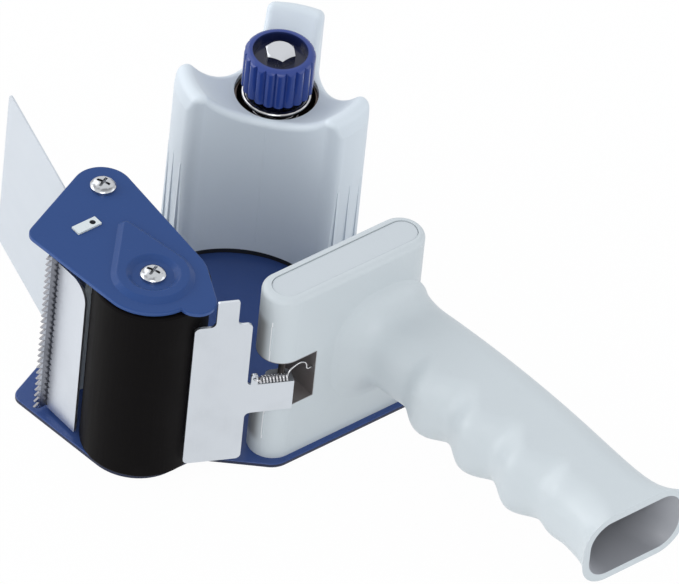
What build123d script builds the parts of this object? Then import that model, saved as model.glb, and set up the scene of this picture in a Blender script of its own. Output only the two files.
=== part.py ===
from build123d import *
import math
import os

# Hand-held tape dispenser for 3-inch packing tape, in millimetres and degrees.
# The origin is on the hub axis at the underside of the side plate. +Z runs along the hub spindle,
# +Y from the handle towards the hub, and the cutting head lies towards -X.

# Tape and layout
TAPE_WIDTH = 76.2
CORE_BORE = 76.2
ROLLER_X, ROLLER_Y = -106.6, -64.7
TIE_X, TIE_Y = -93.4, -18.2
HEAD_CORNER_X, HEAD_CORNER_Y = -125.6, -25.6
BLOCK_X, BLOCK_Y = -42.2, -92.25

# Clearances
RUN_FIT = 0.05
LOOSE_FIT = 0.15
SEAT_GAP = 0.3
END_PLAY = 0.4
CUT_OVER = 0.1

# Plates
SIDE_T = 1.5
HEAD_T = 1.5
PLATE_LIP = 0.5
HEAD_CORNER_R = 5.0
TIE_LUG_R = 11.0
HUB_LUG_R = 28.0
ROLLER_PROUD = 2.0
HEAD_ROUND_SHIFT = 0.9
CHEEK_SHIFT = 1.2
STOP_EAR_R = 7.2
STOP_EAR_X, STOP_EAR_Y = 5.3, -18.5
PRESS_H = 1.6
PRESS_DRAFT = 52.0
PRESS_SOFT = 0.8
PRESS_R = 15.0
PRESS_TIP_X, PRESS_TIP_Y, PRESS_TIP_R = 7.6, 25.5, 3.0
DISH_R = 7.6
FOOT_MARGIN = 2.4
FOOT_CORNER_R = 9.0
THROAT_X = 11.0
THROAT_R = 6.0
CHIN_BEARING = 233.0
FOOT_SCREW_INSET = 14.0

# Screws
SCREW_R = 1.9
SCREW_L = 10.0
FLUSH_HEAD_R = 3.25
FLUSH_SINK = 0.1
PAN_HEAD_R = 4.65
PAN_HEAD_H = 2.6
CROSS_LENGTH, CROSS_WIDTH, CROSS_DEPTH = 5.2, 1.1, 1.3

# Roller
ROLLER_R = 21.0
SLEEVE_T = 4.2
SLEEVE_EDGE_R = 0.8
CORE_WALL = 3.0
CORE_RECESS = 9.0
SHAFT_R = 4.0
BUSH_WALL = 2.0
BUSH_L = 12.0
BUSH_BOSS = 2.5
TIE_R = 4.5

# Cutter
HOLDER_T = 4.1
HOLDER_W = 16.5
HOLDER_Y = -31.35
HOLDER_SETBACK = 2.0
TENON_W = 10.2
TENON_PROUD = 0.7
BLADE_T = 0.8
BLADE_W = 18.0
BLADE_REACH = 5.0
TEETH = 27
TOOTH_PITCH = 2.75
TOOTH_DEPTH = 2.3
REST_T = 1.0
REST_LEG = 13.0
REST_H = 69.5
REST_END_Y = 13.7
REST_GAP = 1.2
REST_CORNER_R = 8.0
PINK_DEPTH = 1.8
PINK_WIDTH = 2.2
RIVET_R = 1.5
RIVET_HEAD_R = 2.7
RIVET_HEAD_H = 1.1
RIVET_COUNT = 3
RIVET_EDGE = 4.0

# Wiper flap
BEAD_R = 1.1
BEAD_INSET = 2.5
FLAP_T = 0.6
FLAP_L = 78.5
FLAP_H = 70.0
FLAP_FOOT_GAP = 3.2
FLAP_ANGLE = 74.5
FLAP_CORNER_R = 2.5
FLAP_BACK, FLAP_FORE = 15.0, 10.0
MOUTH_SPARE = 2.0

# Tape retainer
RETAINER_T = 1.0
RETAINER_GAP = 0.6
RETAINER_BEARING = -82.0
RETAINER_W = 21.0
RETAINER_H = 65.0
RETAINER_Z = 5.0
RETAINER_CORNER_R = 2.0
STOP_TAB_X, STOP_TAB_W, STOP_TAB_H = 7.6, 8.0, 11.5
STOP_TAB_R = 0.8
ARM_H = 13.4
EAR_L = 9.5
EAR_BACK = 2.8
PIN_R = 1.25
PIN_DEPTH = 3.2
PIN_TO_END = 3.9
PIN_EMBED = 6.0
PIN_X, PIN_Y = -3.15, -5.25
PULL_WIRE_R = 0.35
PULL_COIL_R = 1.1
PULL_TURNS = 8.5
PULL_PITCH = 1.2
PULL_START = 25.6
PULL_OUT = 0.9
PULL_RISE = 2.2
PULL_ARCH = 2.2
PULL_DROP = 2.1
PULL_BEND = 1.2
PULL_TAIL = 3.0
PULL_END_X, PULL_END_Y = 2.7, 1.5
LUG_X, LUG_W, LUG_H = 22.4, 2.4, 4.7
LUG_EYE_Z = 2.9
LUG_EYE_R = 0.6
HOOK_BACK, HOOK_FORE = 1.5, 1.4

# Handle
BLOCK_L = 69.0
BLOCK_W = 17.5
BLOCK_H = 75.5
BLOCK_TOP_R = 2.2
SLOT_L = 18.2
SLOT_Z = 26.4
SLOT_H = 20.9
CAP_INSET = 3.15
CAP_SHIFT = 0.55
CAP_T = 2.2
CAP_SINK = 0.3
CAVITY_WALL = 5.2
CAVITY_FLOOR = 13.0
PARTING_W, PARTING_H = 0.6, 0.3
PARTING_BEARING = 205.0
PARTING_SPANS = ((12.0, 22.5), (52.6, 64.0))
GRIP_L = 129.3
GRIP_T = 30.0
GRIP_CORNER_R = 12.0
GRIP_WALL = 3.0
GRIP_Z = 38.5
GRIP_FRONT, GRIP_FRONT_RAKE = -40.8, 0.052
GRIP_REAR, GRIP_REAR_BOW = -0.3, 7.5
FINGER_FIRST, FINGER_PITCH, FINGER_COUNT = 37.0, 24.0, 3
FINGER_DEPTH = 3.2
FINGER_SOFT = 2.2
ROOT_R = 11.0
ROOT_SOFT = 0.7
END_FLARE_FRONT, END_FLARE_REAR, END_FLARE_REACH = 5.5, 7.3, 6.0
GRIP_BOW_REACH = 88.0
GRIP_BITE = 6.0
GRIP_FLOOR = 22.0
ROOT_SHARES = (0.03, 0.14, 0.4, 0.8)
FLARE_SHARES = (2.2, 1.2, 0.5, 0)
GRIP_STEP = 6.0

# Hub
CORE_SLACK = 0.1
LOBE_ANGLE = 41.0
LOBES = 3
LOBE_WAIST_R = 18.0
LOBE_HOLLOW_R = 38.5
LOBE_EDGE_R = 5.5
HUB_Z = 4.0
HUB_TIP_Z = 83.0
HUB_TIP_R = 34.6
HUB_CROWN_H = 33.0
HUB_FOOT_TAPER = 0.6
HUB_RIM_DROP = 17.0
HUB_DISH_DROP = 11.5
HUB_CROWN_R = 67.0
HUB_TOP_R = 3.5
HUB_RIM_R, HUB_RIM_LEAST_L = 2.4, 15.0
HUB_WALL = 2.8
POCKET_ROOF_T = 9.0
RIB_COUNT = 3
RIB_PITCH = 6.0
RIB_W, RIB_PROUD, RIB_DROP = 1.2, 0.35, 5.0
WELL_R = 15.3
WELL_Z = 48.0

# Spindle, brake and tension
SPINDLE_R = 7.0
SPINDLE_FLANGE_R = 12.0
SPINDLE_FLANGE_T = 1.5
HUB_BUSH_WALL = 3.0
BRAKE_R = 17.0
BOLT_R = 3.0
BOLT_L = 54.0
BOLT_HEAD_AF = 10.0
BOLT_HEAD_H = 3.8
BOLT_PROUD = 0.2
SPINDLE_BORE_Z = 18.0
CUP_WALL = 0.8
CUP_H = 16.0
COIL_R = 8.6
COIL_WIRE_R = 1.0
COIL_TURNS = 5
COIL_PITCH = 2.6
WASHER_R = 11.6
WASHER_T = 1.4
WASHER_EDGE_R = 0.5
KNOB_R = 13.0
KNOB_H = 16.5
KNOB_NECK_R = 7.5
KNOB_NECK_H = 3.4
KNOB_RIDGES = 20
RIDGE_R = 2.1
KNOB_EDGE_R = 2.2
KNOB_DISH_R = 10.0
KNOB_FLOOR_R = 9.0
KNOB_DISH_H = 3.4

# Levels and places worked out from the sizes above
ROLLER_L = TAPE_WIDTH
HEAD_Z = SIDE_T + ROLLER_L + 2 * END_PLAY
HEAD_TOP = HEAD_Z + HEAD_T
HEAD_ROUND_R = ROLLER_R - ROLLER_PROUD
BLOCK_FRONT = BLOCK_X - BLOCK_L / 2
BLOCK_END_R = BLOCK_W / 2
BLOCK_TOP = SIDE_T + BLOCK_H
BLOCK_FACE = BLOCK_Y - BLOCK_W / 2
REST_INNER_X = ROLLER_X - math.sqrt((ROLLER_R + REST_GAP) ** 2 - REST_END_Y ** 2)
REST_FRONT_X = REST_INNER_X - REST_T
BLADE_TIP_X = REST_FRONT_X - BLADE_REACH
HOLDER_FRONT_X = REST_INNER_X + HOLDER_SETBACK
HOLDER_BACK_X = HOLDER_FRONT_X + HOLDER_W
HOLDER_LOW_Y = HOLDER_Y - HOLDER_T / 2
BLADE_FACE_Y = HOLDER_LOW_Y - BLADE_T
REST_FACE_Y = BLADE_FACE_Y - REST_T
BLADE_L = TEETH * TOOTH_PITCH
BLADE_Z = (SIDE_T + HEAD_Z - BLADE_L) / 2
BEAD_X = HOLDER_BACK_X - BEAD_INSET
HINGE_X = BLOCK_FRONT + BLOCK_END_R + PIN_X
HINGE_Y = BLOCK_Y + PIN_Y
ARM_Z = SLOT_Z + SEAT_GAP
ARM_TOP = ARM_Z + ARM_H
HUB_R = CORE_BORE / 2 - CORE_SLACK - RIB_PROUD
HUB_BORE_R = SPINDLE_R + RUN_FIT + HUB_BUSH_WALL
HUB_BELLY_Z = HUB_TIP_Z - HUB_CROWN_H
HUB_RIM_Z = HUB_TIP_Z - HUB_RIM_DROP
HUB_DISH_Z = HUB_TIP_Z - HUB_DISH_DROP
POCKET_Z = HUB_RIM_Z - POCKET_ROOF_T
RIB_Z = HUB_BELLY_Z - RIB_DROP
CUP_R = WELL_R - LOOSE_FIT
COIL_Z = WELL_Z + CUP_WALL + SEAT_GAP + COIL_WIRE_R
WASHER_Z = COIL_Z + COIL_TURNS * COIL_PITCH + COIL_WIRE_R + SEAT_GAP
KNOB_Z = WASHER_Z + WASHER_T + KNOB_NECK_H
KNOB_TOP = KNOB_Z + KNOB_H
BOLT_TOP = KNOB_TOP + BOLT_PROUD
SCREW_HOLE_R = SCREW_R + RUN_FIT


def prism(sketch, low, high):
    """A flat outline carried straight up from one level to another."""
    return extrude(Pos(0, 0, low) * sketch, high - low)


def rod(x, y, radius, low, high):
    """A round bar along Z."""
    return prism(Pos(x, y) * Circle(radius), low, high)


def tube(x, y, outer, inner, low, high):
    """A round tube along Z."""
    return rod(x, y, outer, low, high) - rod(x, y, inner, low, high)


def hull(*discs):
    """The taut outline round some discs, each given as x, y and radius."""
    return make_hull([edge for x, y, r in discs for edge in (Pos(x, y) * Circle(r)).edges()])


def stadium(length, width):
    """A bar outline with fully round ends."""
    return SlotOverall(length, width)


def flat_rect(x, y, width, height):
    """A rectangle from its low corner."""
    return Pos(x + width / 2, y + height / 2) * Rectangle(width, height)


def widest_rims(solid):
    """The largest circle edges of a turned body."""
    return solid.edges().filter_by(GeomType.CIRCLE).group_by(lambda e: round(e.radius, 3))[-1]


def lip(solid, level, radius):
    """Rolls over the outer edge of a plate at one level."""
    face = solid.faces().filter_by(Axis.Z).group_by(Axis.Z)[level].sort_by(SortBy.AREA)[-1]
    return fillet(face.outer_wire().edges(), radius)


def biarc(start, start_dir, end, end_dir):
    """Two circle arcs that join two points with the given directions."""
    span = end - start
    both = start_dir + end_dir
    bend = 2 * (1 - start_dir.dot(end_dir))
    along = span.dot(both)
    reach = (math.sqrt(along * along + bend * span.dot(span)) - along) / bend
    middle = (start + end + (start_dir - end_dir) * reach) * 0.5
    first = Edge.make_tangent_arc(start, start_dir, middle)
    return [first, Edge.make_tangent_arc(middle, first % 1, end)]


def helix_edges(centre, radius, start_angle, sweep_angle, rise):
    """A helix as biarcs of a quarter turn or less, from its start to its end."""
    steps = math.ceil(abs(sweep_angle) / 90)
    turn = 1 if sweep_angle > 0 else -1
    climb = rise / (math.radians(abs(sweep_angle)) * radius)

    def point(share):
        angle = math.radians(start_angle + sweep_angle * share)
        return centre + Vector(radius * math.cos(angle), radius * math.sin(angle), rise * share)

    def heading(share):
        angle = math.radians(start_angle + sweep_angle * share)
        return Vector(-turn * math.sin(angle), turn * math.cos(angle), climb).normalized()

    edges = []
    for step in range(steps):
        a, b = step / steps, (step + 1) / steps
        edges += biarc(point(a), heading(a), point(b), heading(b))
    return edges


def wire_body(edges, radius, name):
    """A round wire along joined edges, with its least gap to itself measured and printed."""
    path = Wire(edges)
    body = sweep(Plane(path @ 0, z_dir=path % 0) * Circle(radius), path=path)
    count = 400
    points = [path @ (i / count) for i in range(count + 1)]
    skip = math.ceil(4 * radius * count / path.length)
    gaps = [(points[i] - points[j]).length for i in range(count + 1) for j in range(i + skip, count + 1)]
    print(f"{name}: length {path.length:.1f} mm, least gap to itself {min(gaps) - 2 * radius:.2f} mm")
    return body


# Plates

def head_discs():
    return [
        (HEAD_CORNER_X, HEAD_CORNER_Y, HEAD_CORNER_R),
        (TIE_X, TIE_Y, TIE_LUG_R),
        (ROLLER_X - HEAD_ROUND_SHIFT, ROLLER_Y, HEAD_ROUND_R),
    ]


def tenon_sketch(room):
    centre_x = HOLDER_BACK_X - TENON_W / 2
    return Pos(centre_x, HOLDER_Y) * Rectangle(TENON_W + 2 * room, HOLDER_T + 2 * room)


def flush_places():
    """Where the flush screws come up through the side plate."""
    reach = BLOCK_L / 2 - FOOT_SCREW_INSET
    return [(TIE_X, TIE_Y), (ROLLER_X, ROLLER_Y)] + [(BLOCK_X + k * reach, BLOCK_Y) for k in (-1, 0, 1)]


def flush_cone(x, y, room):
    """The countersunk head, or with room the seat for it."""
    radius = FLUSH_HEAD_R + room
    height = radius - SCREW_R
    return Pos(x, y, height / 2) * Cone(radius, SCREW_R, height)


def side_plate():
    head = hull(*head_discs())
    foot_low = BLOCK_FACE - FOOT_MARGIN
    front = BLOCK_FRONT - FOOT_MARGIN + FOOT_CORNER_R
    rear = BLOCK_X + BLOCK_L / 2 + FOOT_MARGIN - FOOT_CORNER_R
    web = hull(
        (TIE_X, TIE_Y, TIE_LUG_R),
        (0, 0, HUB_LUG_R),
        (rear, foot_low + FOOT_CORNER_R, FOOT_CORNER_R),
        (front, foot_low + FOOT_CORNER_R, FOOT_CORNER_R),
    )
    throat_y = ROLLER_Y - HEAD_ROUND_R
    bearing = math.radians(CHIN_BEARING)
    chin = Polygon(
        (ROLLER_X - HEAD_ROUND_SHIFT, throat_y),
        (ROLLER_X + THROAT_X, throat_y),
        (front + FOOT_CORNER_R * math.cos(bearing), foot_low + FOOT_CORNER_R * (1 + math.sin(bearing))),
        (front, foot_low + FOOT_CORNER_R),
        (front, ROLLER_Y),
        (ROLLER_X, ROLLER_Y),
        align=None,
    )
    outline = head + web + chin
    throat = outline.vertices().sort_by_distance((ROLLER_X + THROAT_X, throat_y, 0))[0]
    plate = lip(prism(fillet(throat, THROAT_R), 0, SIDE_T), -1, PLATE_LIP)
    for x, y in flush_places():
        plate -= rod(x, y, SCREW_HOLE_R, 0, SIDE_T) + flush_cone(x, y, LOOSE_FIT)
    return plate - prism(tenon_sketch(LOOSE_FIT), 0, SIDE_T)


def head_press(level):
    """The raised teardrop with its round dish, standing on one level."""
    teardrop = hull(
        (ROLLER_X, ROLLER_Y, PRESS_R),
        (ROLLER_X + PRESS_TIP_X, ROLLER_Y + PRESS_TIP_Y, PRESS_TIP_R),
    )
    raised = extrude(Pos(0, 0, level) * teardrop, PRESS_H, taper=PRESS_DRAFT)
    spread = PRESS_H * math.tan(math.radians(PRESS_DRAFT))
    dish = Pos(ROLLER_X, ROLLER_Y, level + PRESS_H / 2) * Cone(DISH_R, DISH_R + spread, PRESS_H)
    return raised - dish


def head_plate():
    ear = (ROLLER_X + STOP_EAR_X, ROLLER_Y + STOP_EAR_Y, STOP_EAR_R)
    shoulder = (ROLLER_X + CHEEK_SHIFT, ROLLER_Y, HEAD_ROUND_R)
    beyond = flat_rect(ear[0], ear[1] - STOP_EAR_R, HEAD_ROUND_R, 2 * HEAD_ROUND_R)
    outline = hull(*head_discs(), shoulder) + hull(ear) + (hull(shoulder, ear) & beyond)
    plate = lip(prism(outline, HEAD_Z, HEAD_TOP), -1, PLATE_LIP)
    plate = plate + head_press(HEAD_TOP) - head_press(HEAD_Z)
    plate = fillet(plate.edges().group_by(Axis.Z)[-1], PRESS_SOFT)
    for x, y in ((TIE_X, TIE_Y), (ROLLER_X, ROLLER_Y)):
        plate -= rod(x, y, SCREW_HOLE_R, HEAD_Z, HEAD_TOP)
    return plate - prism(tenon_sketch(LOOSE_FIT), HEAD_Z, HEAD_TOP)


# Screws, post and shaft

def flush_screw(x, y):
    head = flush_cone(x, y, 0) + rod(x, y, SCREW_R, 0, SIDE_T + SCREW_L)
    cross = Box(CROSS_LENGTH, CROSS_WIDTH, 2 * CROSS_DEPTH) + Box(CROSS_WIDTH, CROSS_LENGTH, 2 * CROSS_DEPTH)
    return Pos(0, 0, FLUSH_SINK) * (head - Pos(x, y, 0) * Rot(0, 0, 45) * cross)


def pan_screw(x, y):
    rise = PAN_HEAD_H * 0.45
    with BuildSketch(Plane.XZ) as half:
        with BuildLine():
            Polyline((0, 0), (PAN_HEAD_R, 0), (PAN_HEAD_R, rise))
            ThreePointArc((PAN_HEAD_R, rise), (PAN_HEAD_R * 0.72, PAN_HEAD_H * 0.86), (0, PAN_HEAD_H))
            Line((0, PAN_HEAD_H), (0, 0))
        make_face()
    head = revolve(half.sketch, Axis.Z)
    cross = Box(CROSS_LENGTH, CROSS_WIDTH, 2 * CROSS_DEPTH) + Box(CROSS_WIDTH, CROSS_LENGTH, 2 * CROSS_DEPTH)
    head -= Pos(0, 0, PAN_HEAD_H) * Rot(0, 0, 25) * cross
    return Pos(x, y, HEAD_TOP) * (head + rod(0, 0, SCREW_R, -SCREW_L, 0))


def tapped_bar(x, y, radius):
    """A bar between the plates with a screw bore in each end."""
    bar = rod(x, y, radius, SIDE_T, HEAD_Z)
    bore_l = SCREW_L + 2 * END_PLAY
    bar -= rod(x, y, SCREW_HOLE_R, SIDE_T, SIDE_T + bore_l)
    return bar - rod(x, y, SCREW_HOLE_R, HEAD_Z - bore_l, HEAD_Z)


# Roller

def roller_levels():
    low = SIDE_T + END_PLAY
    return low, low + ROLLER_L


def roller_sleeve():
    low, high = roller_levels()
    sleeve = tube(ROLLER_X, ROLLER_Y, ROLLER_R, ROLLER_R - SLEEVE_T, low, high)
    return fillet(widest_rims(sleeve), SLEEVE_EDGE_R)


def roller_core():
    low, high = roller_levels()
    outer = ROLLER_R - SLEEVE_T
    bush_r = SHAFT_R + RUN_FIT + BUSH_WALL
    core = tube(ROLLER_X, ROLLER_Y, outer, SHAFT_R + BUSH_WALL / 2, low, high)
    for a, b in ((low, low + BUSH_L), (high - BUSH_L, high)):
        core -= rod(ROLLER_X, ROLLER_Y, bush_r, a, b)
    for a, b in ((low, low + CORE_RECESS), (high - CORE_RECESS, high)):
        core -= tube(ROLLER_X, ROLLER_Y, outer - CORE_WALL, bush_r + BUSH_BOSS, a, b)
    return core


def roller_bushings():
    low, high = roller_levels()
    bore = SHAFT_R + RUN_FIT
    ends = ((low, low + BUSH_L), (high - BUSH_L, high))
    return [tube(ROLLER_X, ROLLER_Y, bore + BUSH_WALL, bore, a, b) for a, b in ends]


# Cutter

def rivet_heights():
    first = BLADE_Z + RIVET_EDGE
    step = (REST_H - 2 * RIVET_EDGE) / (RIVET_COUNT - 1)
    return [first + k * step for k in range(RIVET_COUNT)]


def rivet_x():
    return HOLDER_FRONT_X + RIVET_EDGE


def cross_bar(z, radius, near_y, far_y):
    """A round bar along Y through the cutter stack."""
    place = Plane((rivet_x(), near_y, z), x_dir=(1, 0, 0), z_dir=(0, 1, 0))
    return extrude(place * Circle(radius), far_y - near_y)


def blade_holder():
    middle = Pos((HOLDER_FRONT_X + HOLDER_BACK_X) / 2, HOLDER_Y) * Rectangle(HOLDER_W, HOLDER_T)
    bar = prism(middle, SIDE_T, HEAD_Z)
    bar += prism(tenon_sketch(0), FLUSH_SINK, HEAD_TOP + TENON_PROUD)
    room = FLAP_T / 2 + LOOSE_FIT
    mouth = hull((BEAD_X, HOLDER_Y, room), *[
        (
            BEAD_X + HOLDER_T * math.cos(math.radians(angle)),
            HOLDER_Y + HOLDER_T * math.sin(math.radians(angle)),
            room,
        )
        for angle in (FLAP_ANGLE - FLAP_BACK - MOUTH_SPARE, FLAP_ANGLE + FLAP_FORE + MOUTH_SPARE)
    ])
    bar -= prism(mouth, SIDE_T, HEAD_Z)
    bar -= rod(BEAD_X, HOLDER_Y, BEAD_R + RUN_FIT, 0, HEAD_TOP + TENON_PROUD)
    for z in rivet_heights():
        bar -= cross_bar(z, RIVET_R + RUN_FIT, HOLDER_LOW_Y, HOLDER_LOW_Y + HOLDER_T)
    return bar


def cutter_blade():
    root_x = BLADE_TIP_X + TOOTH_DEPTH
    saw = []
    for k in range(TEETH):
        saw.append((root_x, BLADE_Z + k * TOOTH_PITCH))
        saw.append((BLADE_TIP_X, BLADE_Z + (k + 0.5) * TOOTH_PITCH))
    top = BLADE_Z + BLADE_L
    back_x = BLADE_TIP_X + BLADE_W
    outline = Polygon(*saw, (root_x, top), (back_x, top), (back_x, BLADE_Z), align=None)
    place = Plane((0, HOLDER_LOW_Y, 0), x_dir=(1, 0, 0), z_dir=(0, -1, 0))
    blade = extrude(place * outline, BLADE_T, dir=(0, -1, 0))
    for z in rivet_heights():
        blade -= cross_bar(z, RIVET_R + RUN_FIT, BLADE_FACE_Y, HOLDER_LOW_Y)
    return blade


def tape_rest():
    end_y = ROLLER_Y + REST_END_Y
    section = Polygon(
        (REST_FRONT_X + REST_LEG, BLADE_FACE_Y),
        (REST_FRONT_X, BLADE_FACE_Y),
        (REST_FRONT_X, end_y),
        (REST_INNER_X, end_y),
        (REST_INNER_X, REST_FACE_Y),
        (REST_FRONT_X + REST_LEG, REST_FACE_Y),
        align=None,
    )
    top = BLADE_Z + REST_H
    rest = prism(section, BLADE_Z, top)
    bend = rest.edges().filter_by(Axis.Z).sort_by_distance((REST_FRONT_X, BLADE_FACE_Y, top / 2))[0]
    rest = fillet(bend, REST_T)
    free = rest.edges().filter_by(Axis.X).group_by(Axis.Z)[-1].sort_by(Axis.Y)[0]
    rest = fillet(free, REST_CORNER_R)
    pinks = int(REST_H / TOOTH_PITCH)
    for k in range(pinks):
        z = BLADE_Z + (k + 0.5) * TOOTH_PITCH
        notch = Polygon(
            (BLADE_FACE_Y + CUT_OVER, z - PINK_WIDTH / 2),
            (BLADE_FACE_Y - PINK_DEPTH, z),
            (BLADE_FACE_Y + CUT_OVER, z + PINK_WIDTH / 2),
            align=None,
        )
        place = Plane((REST_FRONT_X - CUT_OVER, 0, 0), x_dir=(0, 1, 0), z_dir=(1, 0, 0))
        rest -= extrude(place * notch, REST_T + CUT_OVER, dir=(1, 0, 0))
    for z in rivet_heights():
        rest -= cross_bar(z, RIVET_R + RUN_FIT, REST_FACE_Y, BLADE_FACE_Y)
    return rest


def blade_rivet(z):
    far_y = HOLDER_LOW_Y + HOLDER_T
    shank = cross_bar(z, RIVET_R, REST_FACE_Y, far_y)
    near_head = cross_bar(z, RIVET_HEAD_R, REST_FACE_Y - RIVET_HEAD_H, REST_FACE_Y)
    far_head = cross_bar(z, RIVET_HEAD_R, far_y, far_y + RIVET_HEAD_H)
    near_head = fillet(near_head.faces().sort_by(Axis.Y)[0].edges(), RIVET_HEAD_H * 0.7)
    far_head = fillet(far_head.faces().sort_by(Axis.Y)[-1].edges(), RIVET_HEAD_H * 0.7)
    return shank + near_head + far_head


def wiper_flap():
    low = SIDE_T + FLAP_FOOT_GAP
    sheet = Pos(FLAP_L / 2, 0) * Rectangle(FLAP_L, FLAP_T)
    flap = prism(sheet, low, low + FLAP_H)
    free = flap.edges().filter_by(Axis.Y).group_by(Axis.X)[-1]
    flap = fillet(free, FLAP_CORNER_R) + rod(0, 0, BEAD_R, low, low + FLAP_H)
    return Pos(BEAD_X, HOLDER_Y) * Rot(0, 0, FLAP_ANGLE) * flap


# Tape retainer

def retainer_plane():
    """Origin at the edge over the roller, x along the plate to its hinge, y up, z outwards."""
    bearing = math.radians(RETAINER_BEARING)
    reach = ROLLER_R + RETAINER_GAP
    start = Vector(ROLLER_X + reach * math.cos(bearing), ROLLER_Y + reach * math.sin(bearing), 0)
    to_pin = Vector(HINGE_X, HINGE_Y, 0) - start
    lean = math.atan2(to_pin.Y, to_pin.X) - math.asin(PIN_DEPTH / to_pin.length)
    along = Vector(math.cos(lean), math.sin(lean), 0)
    return Plane(start, x_dir=along, z_dir=along.cross(Vector(0, 0, 1)))


def pin_along():
    plane = retainer_plane()
    return (Vector(HINGE_X, HINGE_Y, 0) - plane.origin).dot(plane.x_dir)


def retainer_plate():
    plane = retainer_plane()
    arm_end = pin_along() + PIN_TO_END
    body_top = RETAINER_Z + RETAINER_H
    outline = flat_rect(0, RETAINER_Z, RETAINER_W, RETAINER_H)
    outline += flat_rect(STOP_TAB_X, body_top, STOP_TAB_W, STOP_TAB_H)
    outline += flat_rect(RETAINER_W, ARM_Z, arm_end - RETAINER_W, ARM_H)
    corners = outline.vertices().filter_by(lambda v: v.X < arm_end - 1).group_by(Axis.Y)
    outline = fillet([v for level in corners[:-1] for v in level], RETAINER_CORNER_R)
    outline = fillet(outline.vertices().group_by(Axis.Y)[-1], STOP_TAB_R)
    lug = fillet(flat_rect(LUG_X, ARM_TOP, LUG_W, LUG_H).vertices().group_by(Axis.Y)[-1], STOP_TAB_R)
    outline += lug + flat_rect(LUG_X, ARM_Z, LUG_W, ARM_H)
    outline -= Pos(LUG_X + LUG_W / 2, ARM_TOP + LUG_EYE_Z) * Circle(LUG_EYE_R)
    plate = extrude(plane * outline, RETAINER_T)
    depth = PIN_DEPTH + EAR_BACK
    for z in (ARM_Z, ARM_TOP - RETAINER_T):
        ear = Pos(arm_end - EAR_L / 2, 0, -depth / 2) * Rot(90, 0, 0) * Rectangle(EAR_L, depth)
        ear = extrude(Pos(0, z, 0) * ear, RETAINER_T, dir=(0, 1, 0))
        rounded = ear.edges().filter_by(Axis.Y).group_by(Axis.Z)[0]
        plate += plane * fillet(rounded, EAR_BACK * 0.9)
        plate -= rod(HINGE_X, HINGE_Y, PIN_R + RUN_FIT, z, z + RETAINER_T)
    return plate


def retainer_pin():
    return rod(HINGE_X, HINGE_Y, PIN_R, SLOT_Z - PIN_EMBED, SLOT_Z + SLOT_H + PIN_EMBED)


def pull_tail():
    """Where the end of the retainer's spring turns into the end wall of the slot."""
    return Vector(BLOCK_FRONT + SLOT_L - PULL_END_X, BLOCK_FACE + PULL_END_Y, ARM_TOP + PULL_RISE - PULL_DROP)


def retainer_spring():
    """Coil over the arm: one end hooked through the plate's lug, the other let into the block."""
    plane = retainer_plane()
    up = Vector(0, 0, 1)

    def spot(along, out, height):
        return plane.origin + plane.x_dir * along + plane.z_dir * out + up * (ARM_TOP + height)

    start = Plane(spot(PULL_START, PULL_OUT, PULL_RISE), x_dir=plane.z_dir, z_dir=plane.x_dir)
    turns = helix_edges(Vector(0, 0, 0), PULL_COIL_R, 0, 360 * PULL_TURNS, PULL_TURNS * PULL_PITCH)
    coil = [edge.moved(start.location) for edge in turns]
    eye = LUG_X + LUG_W / 2
    hook = Edge.make_line(spot(eye, -HOOK_BACK, LUG_EYE_Z), spot(eye, HOOK_FORE, LUG_EYE_Z))
    lead = biarc(hook @ 1, plane.z_dir, coil[0] @ 0, coil[0] % 0)
    tail = pull_tail()
    level = tail - coil[-1] @ 1
    level = Vector(level.X, level.Y, 0)
    crest = coil[-1] @ 1 + level * 0.5 + up * PULL_ARCH
    arch = biarc(coil[-1] @ 1, coil[-1] % 1, crest, level.normalized())
    arch += biarc(crest, arch[-1] % 1, tail, -up)
    bend = Edge.make_tangent_arc(tail, arch[-1] % 1, tail + Vector(PULL_BEND, 0, -PULL_BEND))
    end = Edge.make_line(bend @ 1, bend @ 1 + (bend % 1) * (PULL_END_X - PULL_BEND + PULL_TAIL))
    return wire_body([hook, *lead, *coil, *arch, bend, end], PULL_WIRE_R, "retainer_spring")


# Handle

def smooth_front(y):
    """Front line of the grip without its finger ridges."""
    return GRIP_FRONT - GRIP_FRONT_RAKE * (y - BLOCK_FACE)


def finger_ridge(y):
    """How far a finger ridge stands out at one height."""
    phase = (BLOCK_FACE - y - FINGER_FIRST) / FINGER_PITCH
    if phase < -0.5 or phase > FINGER_COUNT - 0.5:
        return 0.0
    return FINGER_DEPTH * (1 + math.cos(2 * math.pi * phase)) / 2


def finger_dip(y):
    """How much rounder the front corners are in a finger's groove than on a ridge."""
    phase = (BLOCK_FACE - y - FINGER_FIRST) / FINGER_PITCH
    outside = max(0.0, -0.5 - phase, phase - FINGER_COUNT + 0.5)
    wave = math.cos(2 * math.pi * min(phase + outside, FINGER_COUNT))
    return -FINGER_SOFT * wave * max(0.0, 1 - 2 * outside)


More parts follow.
